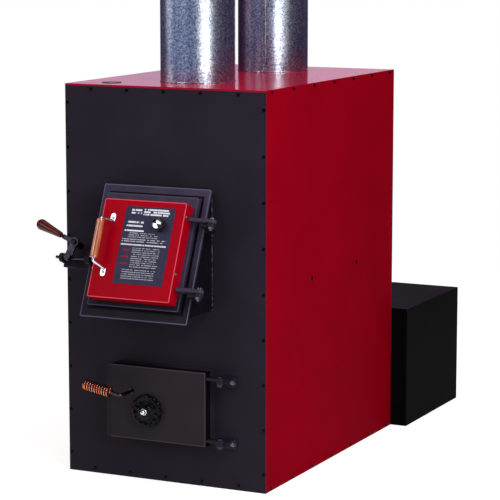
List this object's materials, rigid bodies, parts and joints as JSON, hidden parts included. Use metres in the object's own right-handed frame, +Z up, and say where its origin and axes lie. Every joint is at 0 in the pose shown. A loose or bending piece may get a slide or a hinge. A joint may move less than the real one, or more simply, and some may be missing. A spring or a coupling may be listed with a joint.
{
  "type": "warm air furnace",
  "caption": "Upright wood-burning warm air furnace in a screwed sheet-metal cabinet, with a slanted feed door, an ash door with draft wheel, top air ducts and a rear blower box.",
  "frame": {"origin": "on the floor, under the middle of the cabinet", "axes": "+Z is up, and the feed door and ash door face -Y"},
  "size_m": [0.72, 1.5213, 1.375],
  "materials": {
    "satin_black": "satin",
    "red_side": "semi-gloss",
    "red_gloss": "gloss",
    "iron_grey": "semi-gloss",
    "firebox_black": "matte",
    "galvanised": "spangled",
    "bright_steel": "polished",
    "zinc_steel": "satin",
    "firebrick": "rough",
    "gasket": "woven",
    "label": "satin",
    "wood_grip": "lacquered",
    "red_grip": "gloss",
    "black_plastic": "gloss",
    "copper_wire": "polished",
    "wheel_black": "gloss enamel",
    "filter_media": "fibrous"
  },
  "bodies": {
    "cabinet": {"base_pan": "satin_black", "front_panel": "satin_black", "left_side_panel": "red_side", "right_side_panel": "red_side", "rear_panel": "satin_black", "top_panel": "red_gloss", "cabinet_screws": "zinc_steel", "top_hole_plug": "satin_black", "heat_shields": "galvanised", "duct_collars": "galvanised", "front_duct": "galvanised", "rear_duct": "galvanised", "firebox_body": "firebox_black", "firebricks": "firebrick", "fire_grate": "firebox_black", "ash_pan": "firebox_black", "baffle_plate": "firebox_black", "flue_collar": "firebox_black", "feed_chute": "iron_grey", "feed_door_frame": "iron_grey", "feed_hinge_brackets": "iron_grey", "feed_hinge_pins": "zinc_steel", "latch_bracket": "iron_grey", "latch_bolt_guide": "iron_grey", "latch_pivot": "bright_steel", "ash_door_frame": "iron_grey", "ash_hinge_brackets": "iron_grey", "ash_hinge_bolts": "zinc_steel", "ash_hinge_pins": "zinc_steel", "blower_box": "satin_black", "blower_box_lid": "satin_black", "blower_housing": "galvanised", "blower_motor": "satin_black", "air_filter": "filter_media", "cable_gland": "black_plastic"},
    "feed_door": {"feed_door_plate": "iron_grey", "feed_door_gasket": "gasket", "feed_door_shield": "firebox_black", "feed_door_cover": "red_gloss", "door_screws": "bright_steel", "feed_hinge_lugs": "iron_grey", "latch_staple": "iron_grey", "instruction_plate": "label", "pull_bail": "bright_steel"},
    "pull_grip": {"pull_grip": "wood_grip"},
    "air_knob": {"air_knob": "black_plastic", "knob_insert": "bright_steel", "air_shutter": "zinc_steel"},
    "latch_lever": {"latch_lever": "zinc_steel", "lever_grip": "red_grip"},
    "latch_bolt": {"latch_bolt": "zinc_steel", "latch_bolt_nut": "bright_steel"},
    "ash_door": {"ash_door": "satin_black", "ash_door_gasket": "gasket", "ash_hinge_lugs": "iron_grey"},
    "ash_latch": {"ash_latch_rod": "zinc_steel", "coil_grip": "copper_wire"},
    "draft_bolt": {"draft_bolt": "bright_steel"},
    "draft_wheel": {"draft_wheel": "wheel_black"},
    "blower_wheel": {"blower_wheel": "galvanised"}
  },
  "joints": [
    {"name": "feed_door_hinge", "type": "hinge", "parent": "cabinet", "child": "feed_door", "pos_m": [0.186, -0.56215, 0.64635], "axis": [0, 0.3955, 0.9184], "range_deg": [0, 110]},
    {"name": "pull_grip_spin", "type": "hinge", "parent": "feed_door", "child": "pull_grip", "pos_m": [-0.1035, -0.61881, 0.68164], "axis": [0, 0.3955, 0.9184], "continuous": true},
    {"name": "air_knob_turn", "type": "hinge", "parent": "feed_door", "child": "air_knob", "pos_m": [0.0555, -0.56359, 0.71883], "axis": [0, -0.9184, 0.3955], "range_deg": [0, 270]},
    {"name": "latch_lever_turn", "type": "hinge", "parent": "cabinet", "child": "latch_lever", "pos_m": [-0.204, -0.56422, 0.65922], "axis": [0, -0.9184, 0.3955], "range_deg": [0, 28]},
    {"name": "latch_bolt_slide", "type": "slide", "parent": "cabinet", "child": "latch_bolt", "axis": [1, 0, 0], "range_m": [0, 0.0204]},
    {"name": "ash_door_hinge", "type": "hinge", "parent": "cabinet", "child": "ash_door", "pos_m": [0.186, -0.482, 0.224], "axis": [0, 0, 1], "range_deg": [0, 120]},
    {"name": "ash_latch_turn", "type": "hinge", "parent": "ash_door", "child": "ash_latch", "pos_m": [-0.071, -0.53, 0.255], "axis": [0, -1, 0], "range_deg": [0, 70]},
    {"name": "draft_slide", "type": "slide", "parent": "ash_door", "child": "draft_bolt", "axis": [0, -1, 0], "range_m": [0, 0.012]},
    {"name": "draft_spin", "type": "hinge", "parent": "draft_bolt", "child": "draft_wheel", "pos_m": [-0.02, -0.51, 0.208], "axis": [0, -1, 0], "range_deg": [0, 1080]},
    {"name": "blower_spin", "type": "hinge", "parent": "cabinet", "child": "blower_wheel", "pos_m": [0, 0.645, 0.1706], "axis": [1, 0, 0], "continuous": true}
  ],
  "couplings": [
    {"joint": "latch_bolt_slide", "follows": "latch_lever_turn", "m_per_rad": 0.041583},
    {"joint": "draft_slide", "follows": "draft_spin", "m_per_rad": 0.0006366}
  ]
}
